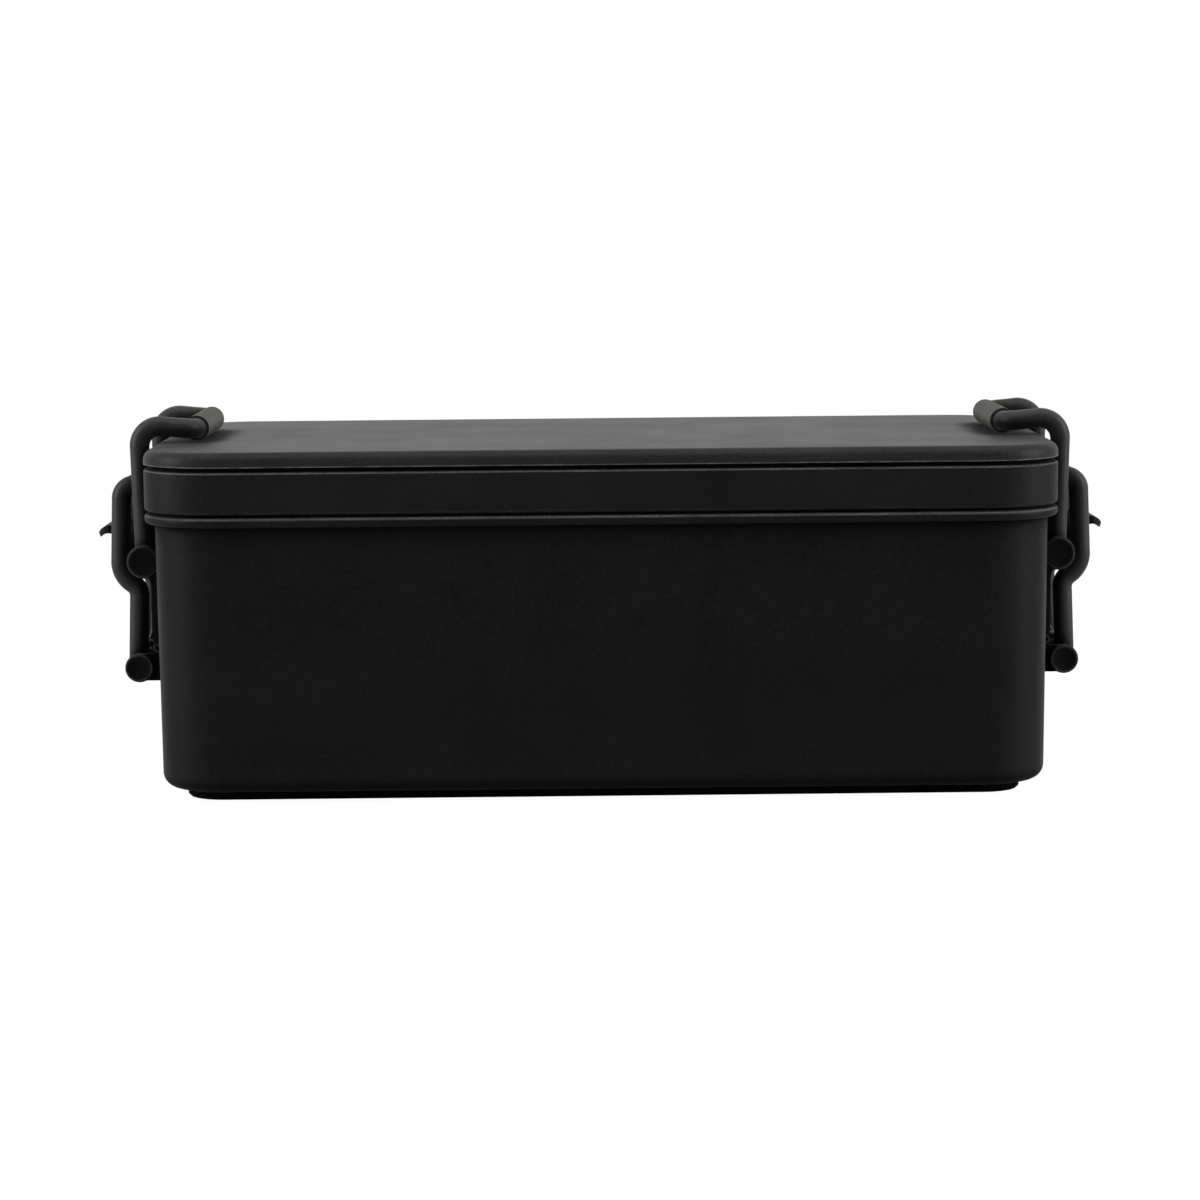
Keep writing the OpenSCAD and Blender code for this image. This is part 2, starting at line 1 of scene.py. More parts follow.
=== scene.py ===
# %% [markdown]
# # A matte black lunch box with wire latches
#
# A steel lunch box is a simple thing: a deep-drawn tub, a tray with a collar, a flat lid, and a latch of
# bent wire at each end. The solids come ready from the construction model. What is left to do here is what
# a paint shop and a photographer do: the powder coat, the rubber, the sleeve on the wire, the springs and
# the small welds, and then the light and the camera.

import json
import math

import bmesh
import bpy
from mathutils import Matrix, Vector


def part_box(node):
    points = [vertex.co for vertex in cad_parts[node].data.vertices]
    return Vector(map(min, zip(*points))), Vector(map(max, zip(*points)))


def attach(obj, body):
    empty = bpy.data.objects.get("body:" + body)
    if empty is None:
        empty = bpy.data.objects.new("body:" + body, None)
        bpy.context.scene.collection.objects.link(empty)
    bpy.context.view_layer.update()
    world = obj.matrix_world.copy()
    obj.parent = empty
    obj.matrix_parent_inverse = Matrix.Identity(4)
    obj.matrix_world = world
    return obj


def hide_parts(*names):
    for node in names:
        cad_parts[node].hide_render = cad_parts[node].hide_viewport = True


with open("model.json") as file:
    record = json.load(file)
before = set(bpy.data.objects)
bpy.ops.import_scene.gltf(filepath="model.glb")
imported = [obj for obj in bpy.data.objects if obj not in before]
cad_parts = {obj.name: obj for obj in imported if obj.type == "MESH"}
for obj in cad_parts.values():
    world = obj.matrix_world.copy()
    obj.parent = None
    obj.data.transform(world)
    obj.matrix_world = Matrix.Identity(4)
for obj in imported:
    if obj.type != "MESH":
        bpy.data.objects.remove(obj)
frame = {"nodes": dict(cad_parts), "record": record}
for placeholder in list(bpy.data.materials):
    bpy.data.materials.remove(placeholder)
nodes = frame["nodes"]
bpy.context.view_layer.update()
print("solids:", len(nodes))

# %% [markdown]
# Lengths are easiest to read in millimetres, and Blender works in metres, so one factor turns one into the
# other. The latches are the same at both ends, so each latch piece is made once for the right-hand end and
# mirrored for the left-hand one. The pins of the joints say where a latch piece belongs.

# %% Units and places
MM = 0.001
SIDES = {"left": -1, "right": 1}

joints = {joint["name"]: joint for joint in frame["record"]["behaviour"]["joints"]}
lever_pin = Vector(joints["right_lever_swing"]["pos_m"]) / MM
sleeve_axis = Vector(joints["right_roller_spin"]["pos_m"]) / MM
sleeve_radius = (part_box("right_roller")[1].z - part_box("right_roller")[0].z) / 2 / MM
print("lever pin at", [round(v, 2) for v in lever_pin], "mm")
print("sleeve radius", round(sleeve_radius, 2), "mm")

# %% [markdown]
# ## The camera
#
# The box is seen from the front and from a little above, with a long lens. A long lens from some way off
# keeps the two ends the same size, which suits a box. The camera stands a touch to the left and leans a
# little, so the box isn't quite level in the frame.

# %% Camera
focal_length = 101.55
sensor_width = 36.0
camera_place = Vector((-5.5, -737.3, 123.4)) * MM
camera_pitch = math.radians(-6.76)
camera_yaw = math.radians(-0.41)
camera_roll = math.radians(-0.52)
nearest_seen = 50 * MM

camera_data = bpy.data.cameras.new("camera")
camera_data.lens = focal_length
camera_data.sensor_width = sensor_width
camera_data.clip_start = nearest_seen
camera = bpy.data.objects.new("camera", camera_data)
bpy.context.scene.collection.objects.link(camera)
look = Matrix.Rotation(camera_yaw, 4, "Z") @ Matrix.Rotation(math.radians(90) + camera_pitch, 4, "X")
camera.matrix_world = Matrix.Translation(camera_place) @ look @ Matrix.Rotation(camera_roll, 4, "Z")
bpy.context.scene.camera = camera
print("camera at", [round(v / MM) for v in camera.matrix_world.translation], "mm")

# %% [markdown]
# ## Floor and light
#
# A black box on a white sweep is lit softly from all round. One wide lamp hangs over the front of the box,
# a tall strip stands beside each end for the rounded corners and the wires, and the pale floor throws light
# back up at the front. The coat mirrors next to nothing that it faces squarely, so the front stays black,
# and the lid, which is seen at a low angle, turns grey.
#
# The floor is pale. To the camera, and in reflections, most of it shows the white of the backdrop, and the
# rest is matt and takes the box's shadow. In reflections the matt part takes over close to the box: an
# ambient occlusion node measures how open the floor is, so the box's underside mirrors its own shadow.

# %% Helpers for node trees
def new_material(name):
    material = bpy.data.materials.new(name)
    material.use_nodes = True
    material.node_tree.nodes.clear()
    return material


def add(tree, kind, **settings):
    """A new node. A setting is one of the node's own, or a socket's name with the value it starts from."""
    node = tree.nodes.new(kind)
    for key, value in settings.items():
        if key.startswith("in_"):
            node.inputs[key[3:].replace("_", " ")].default_value = value
        else:
            setattr(node, key, value)
    return node


def white_seen(tree):
    """Two factors that are 1 or 0: for what the camera sees, and for what a mirror or a clear piece sees."""
    path = add(tree, "ShaderNodeLightPath")
    mirrored = add(tree, "ShaderNodeMath", operation="MAXIMUM")
    tree.links.new(path.outputs["Is Glossy Ray"], mirrored.inputs[0])
    tree.links.new(path.outputs["Is Transmission Ray"], mirrored.inputs[1])
    return path.outputs["Is Camera Ray"], mirrored.outputs[0]


# %% Floor
floor_half = 4000 * MM
floor_drop = 0.05 * MM

floor_mesh = bpy.data.meshes.new("floor")
floor_bm = bmesh.new()
bmesh.ops.create_grid(floor_bm, x_segments=1, y_segments=1, size=floor_half)
bmesh.ops.translate(floor_bm, verts=floor_bm.verts, vec=(0, 0, -floor_drop))
floor_bm.to_mesh(floor_mesh)
floor_bm.free()
floor = bpy.data.objects.new("floor", floor_mesh)
bpy.context.scene.collection.objects.link(floor)
print("floor", floor_half * 2, "m wide")

# %% Floor's finish
floor_colour = (0.9, 0.9, 0.9, 1)
white = (1, 1, 1, 1)
backdrop_share = 0.96
shade_reach = 30 * MM
floor_shut, floor_open = 0.4, 0.95      # how open the floor is close under the box, and away from it

floor_material = new_material("pale_floor")
tree = floor_material.node_tree
output = add(tree, "ShaderNodeOutputMaterial")
mix = add(tree, "ShaderNodeMixShader")
matt = add(tree, "ShaderNodeBsdfDiffuse", in_Color=floor_colour)
glow = add(tree, "ShaderNodeEmission", in_Color=white)
openness = add(tree, "ShaderNodeAmbientOcclusion", samples=6, in_Distance=shade_reach)
open_share = add(tree, "ShaderNodeMapRange", in_From_Min=floor_shut, in_From_Max=floor_open,
                 in_To_Max=backdrop_share)
mirror_share = add(tree, "ShaderNodeMath", operation="MULTIPLY")
camera_share = add(tree, "ShaderNodeMath", operation="MULTIPLY")
camera_share.inputs[1].default_value = backdrop_share
share = add(tree, "ShaderNodeMath", operation="MAXIMUM")
by_camera, by_mirror = white_seen(tree)
tree.links.new(openness.outputs["AO"], open_share.inputs["Value"])
tree.links.new(by_mirror, mirror_share.inputs[0])
tree.links.new(open_share.outputs[0], mirror_share.inputs[1])
tree.links.new(by_camera, camera_share.inputs[0])
tree.links.new(mirror_share.outputs[0], share.inputs[0])
tree.links.new(camera_share.outputs[0], share.inputs[1])
tree.links.new(share.outputs[0], mix.inputs[0])
tree.links.new(matt.outputs[0], mix.inputs[1])
tree.links.new(glow.outputs[0], mix.inputs[2])
tree.links.new(mix.outputs[0], output.inputs["Surface"])
floor_mesh.materials.append(floor_material)
print(floor_material.name, "has", len(tree.nodes), "nodes")

# %% [markdown]
# The light of the room is a plain gradient: dim in front of the box, where the camera stands, and bright
# behind it. The camera, mirror rays and clear pieces see the backdrop instead, which is pure white.

# %% World
room_front = 0.05
room_back = 1.0
dim_until, bright_from = -0.95, 0.3     # along Y, from straight to the front to behind the box

world = bpy.data.worlds.new("studio")
bpy.context.scene.world = world
world.use_nodes = True
tree = world.node_tree
tree.nodes.clear()
output = add(tree, "ShaderNodeOutputWorld")
backdrop = add(tree, "ShaderNodeBackground", in_Color=white)
room = add(tree, "ShaderNodeBackground", in_Color=white)
pick = add(tree, "ShaderNodeMixShader")
where = add(tree, "ShaderNodeTexCoord")
split = add(tree, "ShaderNodeSeparateXYZ")
front_to_back = add(tree, "ShaderNodeMapRange", interpolation_type="SMOOTHSTEP", in_From_Min=dim_until,
                    in_From_Max=bright_from, in_To_Min=room_front, in_To_Max=room_back)
tree.links.new(where.outputs["Generated"], split.inputs[0])
tree.links.new(split.outputs["Y"], front_to_back.inputs["Value"])
tree.links.new(front_to_back.outputs[0], room.inputs["Strength"])
seen = add(tree, "ShaderNodeMath", operation="MAXIMUM")
by_camera, by_mirror = white_seen(tree)
tree.links.new(by_camera, seen.inputs[0])
tree.links.new(by_mirror, seen.inputs[1])
tree.links.new(seen.outputs[0], pick.inputs[0])
tree.links.new(room.outputs[0], pick.inputs[1])
tree.links.new(backdrop.outputs[0], pick.inputs[2])
tree.links.new(pick.outputs[0], output.inputs["Surface"])
print("room light", room_front, "in front and", room_back, "behind")

# %% Lamps
def soft_lamp(name, place, aim, width, height, power):
    data = bpy.data.lights.new(name, "AREA")
    data.shape = "RECTANGLE"
    data.size = width
    data.size_y = height
    data.energy = power
    lamp = bpy.data.objects.new(name, data)
    bpy.context.scene.collection.objects.link(lamp)
    lamp.location = place
    lamp.rotation_euler = (Vector(aim) - Vector(place)).to_track_quat("-Z", "Y").to_euler()
    print(name, power, "W")


aim = (0, 0, 0.04)
overhead_place = (0, -0.3, 1.05)
overhead_width, overhead_height, overhead_power = 1.0, 0.5, 10
strip_out, strip_front, strip_up = 1.0, -0.25, 0.3
strip_width, strip_height, strip_power = 0.4, 0.9, 27

soft_lamp("overhead", overhead_place, aim, overhead_width, overhead_height, overhead_power)
for side, sign in SIDES.items():
    soft_lamp(side + "_strip", (sign * strip_out, strip_front, strip_up), aim, strip_width, strip_height,
              strip_power)

bpy.context.scene.view_settings.view_transform = "Standard"

# %% [markdown]
# ## Effects that the finishes share
#
# Powder coat is plastic dust melted onto the steel. Seen close up it has a fine pebbled skin, it is a
# little duller in one patch than in the next, it runs thin and pale over sharp edges, where a painted
# highlight is laid on as well, and what faces up is painted paler, partly as settled dust and partly as a
# painted highlight from the lamp above. More than one finish shows each of these, so each is a node group
# that is built once and placed in each material with its own values.

# %% Group helper
def new_group(name, inputs, outputs):
    """A shader node group with the named inputs, each with its default, and outputs."""
    group = bpy.data.node_groups.new(name, "ShaderNodeTree")
    for label, default in inputs.items():
        socket = group.interface.new_socket(label, in_out="INPUT", socket_type="NodeSocketFloat")
        socket.default_value = default
    for label in outputs:
        group.interface.new_socket(label, in_out="OUTPUT", socket_type="NodeSocketFloat")
    start = group.nodes.new("NodeGroupInput")
    end = group.nodes.new("NodeGroupOutput")
    return group, start, end


def noise_at(tree, size_socket, detail):
    """Noise on Object coordinates, with its grain size in millimetres from a socket."""
    where = add(tree, "ShaderNodeTexCoord")
    to_scale = add(tree, "ShaderNodeMath", operation="DIVIDE")
    to_scale.inputs[0].default_value = 1 / MM
    noise = add(tree, "ShaderNodeTexNoise", in_Detail=detail)
    tree.links.new(size_socket, to_scale.inputs[1])
    tree.links.new(to_scale.outputs[0], noise.inputs["Scale"])
    tree.links.new(where.outputs["Object"], noise.inputs["Vector"])
    return noise.outputs["Fac"]


# %% Grain group
grain_group, start, end = new_group("grain", {"Size mm": 0.5, "Patch mm": 16.0}, ["Height", "Mottle"])
pebble_detail, patch_detail = 3.0, 4.0
pebbles = noise_at(grain_group, start.outputs["Size mm"], pebble_detail)
patches = noise_at(grain_group, start.outputs["Patch mm"], patch_detail)
grain_group.links.new(pebbles, end.inputs["Height"])
grain_group.links.new(patches, end.inputs["Mottle"])

# %% [markdown]
# The edge mask compares the true normal with one that is rounded over a short reach. Where the two differ
# there is an edge. The mask paints it pale, partly as wear and partly as a painted highlight. A little noise
# breaks the mask up, because a coat never wears evenly.

# %% Edge group
edge_group, start, end = new_group("thin_edge", {"Reach mm": 0.5, "Breakup mm": 2.5}, ["Mask"])
smooth_agree, edge_agree = 0.99, 0.8    # how well the two normals agree on a smooth face, and on an edge
edge_least, edge_noise_low, edge_noise_high, edge_noise_detail = 0.45, 0.35, 0.6, 3.0

tree = edge_group
reach = add(tree, "ShaderNodeMath", operation="MULTIPLY")
reach.inputs[1].default_value = MM
rounded = add(tree, "ShaderNodeBevel", samples=6)
geometry = add(tree, "ShaderNodeNewGeometry")
turn = add(tree, "ShaderNodeVectorMath", operation="DOT_PRODUCT")
spread = add(tree, "ShaderNodeMapRange", in_From_Min=smooth_agree, in_From_Max=edge_agree)
patchy = add(tree, "ShaderNodeMapRange", in_From_Min=edge_noise_low, in_From_Max=edge_noise_high, in_To_Min=edge_least)
both = add(tree, "ShaderNodeMath", operation="MULTIPLY")
tree.links.new(start.outputs["Reach mm"], reach.inputs[0])
tree.links.new(reach.outputs[0], rounded.inputs["Radius"])
tree.links.new(rounded.outputs["Normal"], turn.inputs[0])
tree.links.new(geometry.outputs["Normal"], turn.inputs[1])
tree.links.new(turn.outputs["Value"], spread.inputs["Value"])
tree.links.new(noise_at(tree, start.outputs["Breakup mm"], edge_noise_detail), patchy.inputs["Value"])
tree.links.new(spread.outputs[0], both.inputs[0])
tree.links.new(patchy.outputs[0], both.inputs[1])
tree.links.new(both.outputs[0], end.inputs["Mask"])

# %% [markdown]
# Dust lies on what faces up and not on what stands upright, and the same mask also paints a highlight
# there, as if the lamp above lit it. The Z of the surface's own normal says which is which, and noise with
# much detail gathers the dust and the painted highlight in clumps.

# %% Dust and painted highlight group
dust_and_highlight_group, start, end = new_group("dust_and_highlight", {"Patch mm": 9.0, "Amount": 0.3}, ["Mask"])
steep_z, level_z = 0.3, 1.0      # the normal's Z on a steep face, and on a level one
thinnest, clump_low, clump_high, clump_detail = 0.5, 0.3, 0.6, 8.0

tree = dust_and_highlight_group
where = add(tree, "ShaderNodeTexCoord")
split = add(tree, "ShaderNodeSeparateXYZ")
facing_up = add(tree, "ShaderNodeMapRange", in_From_Min=steep_z, in_From_Max=level_z)
clumps = add(tree, "ShaderNodeMapRange", in_From_Min=clump_low, in_From_Max=clump_high, in_To_Min=thinnest)
upward_clumped = add(tree, "ShaderNodeMath", operation="MULTIPLY")
share = add(tree, "ShaderNodeMath", operation="MULTIPLY")
tree.links.new(where.outputs["Normal"], split.inputs[0])
tree.links.new(split.outputs["Z"], facing_up.inputs["Value"])
tree.links.new(noise_at(tree, start.outputs["Patch mm"], clump_detail), clumps.inputs["Value"])
tree.links.new(facing_up.outputs[0], upward_clumped.inputs[0])
tree.links.new(clumps.outputs[0], upward_clumped.inputs[1])
tree.links.new(upward_clumped.outputs[0], share.inputs[0])
tree.links.new(start.outputs["Amount"], share.inputs[1])
tree.links.new(share.outputs[0], end.inputs["Mask"])

# %% [markdown]
# Under the rolled rim, in the seams and behind the latches, the coat is made duller and its colour is
# painted nearly black as shade. Ambient occlusion finds such places: it is low where something close by
# shuts a point in.

# %% Shelter group
shelter_group, start, end = new_group("shelter", {"Reach mm": 6.0}, ["Mask"])
open_above, shut_below = 0.97, 0.7      # ambient occlusion in the open, and in a closed corner

tree = shelter_group
reach = add(tree, "ShaderNodeMath", operation="MULTIPLY")
reach.inputs[1].default_value = MM
openness = add(tree, "ShaderNodeAmbientOcclusion", samples=4)
closed = add(tree, "ShaderNodeMapRange", in_From_Min=open_above, in_From_Max=shut_below)
tree.links.new(start.outputs["Reach mm"], reach.inputs[0])
tree.links.new(reach.outputs[0], openness.inputs["Distance"])
tree.links.new(openness.outputs["AO"], closed.inputs["Value"])
tree.links.new(closed.outputs[0], end.inputs["Mask"])
print("groups:", [group.name for group in bpy.data.node_groups])

# %% [markdown]
# ## Powder coat
#
# The same coat is on the tub, the collar, the lid and the wires, a little different on each: the lid comes
# out smoothest, wire, which is hung up and coated from all sides, comes out greyest, and the pins come out
# blackest. One function makes them all. It takes three steps from the coat's own colour: pale at edges,
# partly worn thin and partly a painted highlight, then dusty and painted paler where it faces up, then
# painted dark as shade where it is sheltered.

# %% Helpers for colours and spreads
def blend_colours(tree, low, high, factor):
    """The socket of a colour that goes from one to the other as the factor goes from 0 to 1."""
    mix = add(tree, "ShaderNodeMix", data_type="RGBA")
    for name, colour in (("A", low), ("B", high)):
        if isinstance(colour, tuple):
            mix.inputs[name].default_value = (*colour, 1)
        else:
            tree.links.new(colour, mix.inputs[name])
    tree.links.new(factor, mix.inputs["Factor"])
    return mix.outputs["Result"]


noise_low, noise_high = 0.3, 0.7        # nearly all of the noise lies between these


def spread_about(tree, factor, middle, spread):
    """A value that wanders about a middle as a noise factor goes up and down."""
    span = add(tree, "ShaderNodeMapRange", in_From_Min=noise_low, in_From_Max=noise_high,
               in_To_Min=middle - spread, in_To_Max=middle + spread)
    tree.links.new(factor, span.inputs["Value"])
    return span.outputs[0]


# %% Powder coat
# What faces up is painted this paler colour, partly as dust and partly as a painted highlight.
dust_and_highlight_colour = (0.14, 0.138, 0.131)
# Nearly black: painted shade where the coat is sheltered.
painted_shade_colour = (0.0004, 0.0004, 0.0004)
patch_spread, pebble_spread, roughness_spread = 0.12, 0.35, 0.03
sheltered_roughness = 0.4
pebble_strength, pebble_height = 0.5, 0.02 * MM


def powder_coat(name, colour, edge_wear_and_highlight_colour, roughness, pebble_mm, specular, sheen, dust_and_highlight_amount=0.1, edge_mm=0.5):
    material = new_material(name)
    tree = material.node_tree
    output = add(tree, "ShaderNodeOutputMaterial")
    paint = add(tree, "ShaderNodeBsdfPrincipled")
    paint.inputs["Specular IOR Level"].default_value = specular
    paint.inputs["Sheen Weight"].default_value = sheen
    grain = add(tree, "ShaderNodeGroup", node_tree=grain_group)
    grain.inputs["Size mm"].default_value = pebble_mm
    edge = add(tree, "ShaderNodeGroup", node_tree=edge_group)
    edge.inputs["Reach mm"].default_value = edge_mm
    dust_and_highlight = add(tree, "ShaderNodeGroup", node_tree=dust_and_highlight_group)
    dust_and_highlight.inputs["Amount"].default_value = dust_and_highlight_amount
    shelter = add(tree, "ShaderNodeGroup", node_tree=shelter_group)
    mottled = add(tree, "ShaderNodeVectorMath", operation="SCALE")
    speckle = add(tree, "ShaderNodeMath", operation="MULTIPLY")
    duller = add(tree, "ShaderNodeMath", operation="MULTIPLY_ADD")
    duller.inputs[1].default_value = sheltered_roughness
    bump = add(tree, "ShaderNodeBump", in_Strength=pebble_strength, in_Distance=pebble_height)
    link = tree.links.new
    # Edges are painted pale, partly as wear and partly as a painted highlight.
    coat = blend_colours(tree, colour, edge_wear_and_highlight_colour, edge.outputs["Mask"])
    # What faces up is painted paler, partly as dust and partly as a painted highlight.
    dusted_and_lit = blend_colours(tree, coat, dust_and_highlight_colour, dust_and_highlight.outputs["Mask"])
    # Sheltered places are painted nearly black as shade, and made duller.
    painted_shade = blend_colours(tree, dusted_and_lit, painted_shade_colour, shelter.outputs["Mask"])
    link(painted_shade, mottled.inputs[0])
    link(spread_about(tree, grain.outputs["Mottle"], 1.0, patch_spread), speckle.inputs[0])
    link(spread_about(tree, grain.outputs["Height"], 1.0, pebble_spread), speckle.inputs[1])
    link(speckle.outputs[0], mottled.inputs["Scale"])
    link(mottled.outputs[0], paint.inputs["Base Color"])
    link(shelter.outputs["Mask"], duller.inputs[0])
    link(spread_about(tree, grain.outputs["Mottle"], roughness, roughness_spread), duller.inputs[2])
    link(duller.outputs[0], paint.inputs["Roughness"])
    link(grain.outputs["Height"], bump.inputs["Height"])
    link(bump.outputs["Normal"], paint.inputs["Normal"])
    link(paint.outputs[0], output.inputs["Surface"])
    return material


# %% Coats
# The second colour of each coat is for its edges: partly wear, partly a painted highlight.
coats = {
    "body_coat": dict(colour=(0.0028, 0.0028, 0.0027), edge_wear_and_highlight_colour=(0.045, 0.045, 0.0427),
                      roughness=0.45, pebble_mm=0.5, specular=0.02, sheen=0.01, dust_and_highlight_amount=1.0),
    "collar_coat": dict(colour=(0.0033, 0.0033, 0.0032), edge_wear_and_highlight_colour=(0.12, 0.12, 0.114),
                        roughness=0.45, pebble_mm=0.5, specular=0.02, sheen=0.01, dust_and_highlight_amount=1.0),
    "lid_coat": dict(colour=(0.006, 0.006, 0.0057), edge_wear_and_highlight_colour=(0.07, 0.07, 0.0665),
                     roughness=0.42, pebble_mm=0.5, specular=0.035, sheen=0.01, dust_and_highlight_amount=0.04),
    "bracket_coat": dict(colour=(0.004, 0.004, 0.0038), edge_wear_and_highlight_colour=(0.012, 0.012, 0.0114),
                         roughness=0.5, pebble_mm=0.4, specular=0.02, sheen=0.01),
    "wire_coat": dict(colour=(0.0085, 0.0085, 0.0081), edge_wear_and_highlight_colour=(0.015, 0.015, 0.0142),
                      roughness=0.45, pebble_mm=0.4, specular=0.06, sheen=0.03),
    "pin_coat": dict(colour=(0.0024, 0.0024, 0.0023), edge_wear_and_highlight_colour=(0.08, 0.08, 0.076),
                     roughness=0.5, pebble_mm=0.4, specular=0.015, sheen=0.01, edge_mm=0.8),
}
finishes = {name: powder_coat(name, **values) for name, values in coats.items()}
print("coats:", list(finishes))

# %% [markdown]
# ## Rubber
#
# The foot and the two seals are black silicone. It is darker and softer to look at than the coat: hardly
# any gloss, a very fine skin, and a dusty bloom.

# %% Rubber
rubber_skin_mm, rubber_patch_mm = 0.25, 5.0
rubber_specular = 0.01
rubber_spread = 0.05
rubber_strength, rubber_height = 0.5, 0.01 * MM
rubber_dust = (0.05, 0.05, 0.048)


def rubber(name, colour, bloom_colour, roughness, bloom):
    material = new_material(name)
    tree = material.node_tree
    output = add(tree, "ShaderNodeOutputMaterial")
    skin = add(tree, "ShaderNodeBsdfPrincipled")
    skin.inputs["Specular IOR Level"].default_value = rubber_specular
    grain = add(tree, "ShaderNodeGroup", node_tree=grain_group)
    grain.inputs["Size mm"].default_value = rubber_skin_mm
    grain.inputs["Patch mm"].default_value = rubber_patch_mm
    dust_and_highlight = add(tree, "ShaderNodeGroup", node_tree=dust_and_highlight_group)
    dust_and_highlight.inputs["Amount"].default_value = bloom
    bump = add(tree, "ShaderNodeBump", in_Strength=rubber_strength, in_Distance=rubber_height)
    link = tree.links.new
    mottled = blend_colours(tree, colour, bloom_colour, grain.outputs["Mottle"])
    link(blend_colours(tree, mottled, rubber_dust, dust_and_highlight.outputs["Mask"]), skin.inputs["Base Color"])
    link(spread_about(tree, grain.outputs["Mottle"], roughness, rubber_spread), skin.inputs["Roughness"])
    link(grain.outputs["Height"], bump.inputs["Height"])
    link(bump.outputs["Normal"], skin.inputs["Normal"])
    link(skin.outputs[0], output.inputs["Surface"])
    return material


finishes["foot_rubber"] = rubber("foot_rubber", colour=(0.0004, 0.0004, 0.0004),
                                 bloom_colour=(0.0012, 0.0012, 0.0012), roughness=0.75, bloom=0.3)
finishes["seal_rubber"] = rubber("seal_rubber", colour=(0.0003, 0.0003, 0.0003),
                                 bloom_colour=(0.001, 0.001, 0.001), roughness=0.7, bloom=0.05)
print("rubbers:", [name for name in finishes if name.endswith("rubber")])

# %% [markdown]
# ## The sleeve
#
# The sleeve on the bail's bar is a warm grey tube with fine ribs round it. Dirt and shade collect in the
# grooves. How deep a point lies is its distance from the bar's axis, which four vector math nodes work out
# from Object coordinates. Both sleeves share the material, so the absolute value of X folds the left-hand
# one onto the right-hand one first.

# %% Sleeve
groove_colour = (0.003, 0.0029, 0.0026)
rib_colour = (0.034, 0.0334, 0.0295)
groove_in, rib_in = 0.17, 0.02          # how far inside the sleeve's radius each one lies, in mm
sleeve_specular = 0.15
sleeve_grain_mm, sleeve_patch_mm = 0.3, 3.0
sleeve_roughness, sleeve_roughness_spread, sleeve_colour_spread = 0.6, 0.06, 0.2
sleeve_strength, sleeve_height = 0.6, 0.03 * MM


def sleeve_material():
    material = new_material("roller_sleeve")
    tree = material.node_tree
    link = tree.links.new
    output = add(tree, "ShaderNodeOutputMaterial")
    skin = add(tree, "ShaderNodeBsdfPrincipled")
    skin.inputs["Specular IOR Level"].default_value = sleeve_specular
    where = add(tree, "ShaderNodeTexCoord")
    folded = add(tree, "ShaderNodeVectorMath", operation="ABSOLUTE")
    from_axis = add(tree, "ShaderNodeVectorMath", operation="SUBTRACT")
    from_axis.inputs[1].default_value = sleeve_axis * MM
    across = add(tree, "ShaderNodeVectorMath", operation="MULTIPLY")
    across.inputs[1].default_value = (1, 0, 1)
    distance = add(tree, "ShaderNodeVectorMath", operation="LENGTH")
    raised = add(tree, "ShaderNodeMapRange", in_From_Min=(sleeve_radius - groove_in) * MM,
                 in_From_Max=(sleeve_radius - rib_in) * MM)
    grain = add(tree, "ShaderNodeGroup", node_tree=grain_group)
    grain.inputs["Size mm"].default_value = sleeve_grain_mm
    grain.inputs["Patch mm"].default_value = sleeve_patch_mm
    mottled = add(tree, "ShaderNodeVectorMath", operation="SCALE")
    bump = add(tree, "ShaderNodeBump", in_Strength=sleeve_strength, in_Distance=sleeve_height)
    link(where.outputs["Object"], folded.inputs[0])
    link(folded.outputs[0], from_axis.inputs[0])
    link(from_axis.outputs[0], across.inputs[0])
    link(across.outputs[0], distance.inputs[0])
    link(distance.outputs["Value"], raised.inputs["Value"])
    link(blend_colours(tree, groove_colour, rib_colour, raised.outputs[0]), mottled.inputs[0])
    link(spread_about(tree, grain.outputs["Mottle"], 1.0, sleeve_colour_spread), mottled.inputs["Scale"])
    link(mottled.outputs[0], skin.inputs["Base Color"])
    link(spread_about(tree, grain.outputs["Mottle"], sleeve_roughness, sleeve_roughness_spread),
         skin.inputs["Roughness"])
    link(grain.outputs["Height"], bump.inputs["Height"])
    link(bump.outputs["Normal"], skin.inputs["Normal"])
    link(skin.outputs[0], output.inputs["Surface"])
    return material


finishes["roller_sleeve"] = sleeve_material()
print("ribs stand", round(groove_in - rib_in, 2), "mm over the grooves")

# %% [markdown]
# ## Spring steel
#
# The springs are the one bare metal on the box: hard wire, blackened with oil, with brighter spots where
# the oxide has rubbed off.

# %% Spring steel
oxide_colour = (0.015, 0.0146, 0.014)
rubbed_colour = (0.06, 0.0585, 0.055)
rubbed_low, rubbed_high = 0.5, 0.7
steel_grain_mm, steel_patch_mm = 0.2, 1.5
steel_roughness, steel_spread = 0.42, 0.08
steel_strength, steel_height = 0.3, 0.01 * MM


def blackened_steel():
    material = new_material("spring_steel")
    tree = material.node_tree
    link = tree.links.new
    output = add(tree, "ShaderNodeOutputMaterial")
    steel = add(tree, "ShaderNodeBsdfPrincipled", in_Metallic=1.0)
    grain = add(tree, "ShaderNodeGroup", node_tree=grain_group)
    grain.inputs["Size mm"].default_value = steel_grain_mm
    grain.inputs["Patch mm"].default_value = steel_patch_mm
    rubbed = add(tree, "ShaderNodeMapRange", in_From_Min=rubbed_low, in_From_Max=rubbed_high)
    bump = add(tree, "ShaderNodeBump", in_Strength=steel_strength, in_Distance=steel_height)
    link(grain.outputs["Mottle"], rubbed.inputs["Value"])
    link(blend_colours(tree, oxide_colour, rubbed_colour, rubbed.outputs[0]), steel.inputs["Base Color"])
    link(spread_about(tree, grain.outputs["Mottle"], steel_roughness, steel_spread),
         steel.inputs["Roughness"])
    link(grain.outputs["Height"], bump.inputs["Height"])
    link(bump.outputs["Normal"], steel.inputs["Normal"])
    link(steel.outputs[0], output.inputs["Surface"])
    return material


finishes["spring_steel"] = blackened_steel()
print("finishes:", list(finishes))

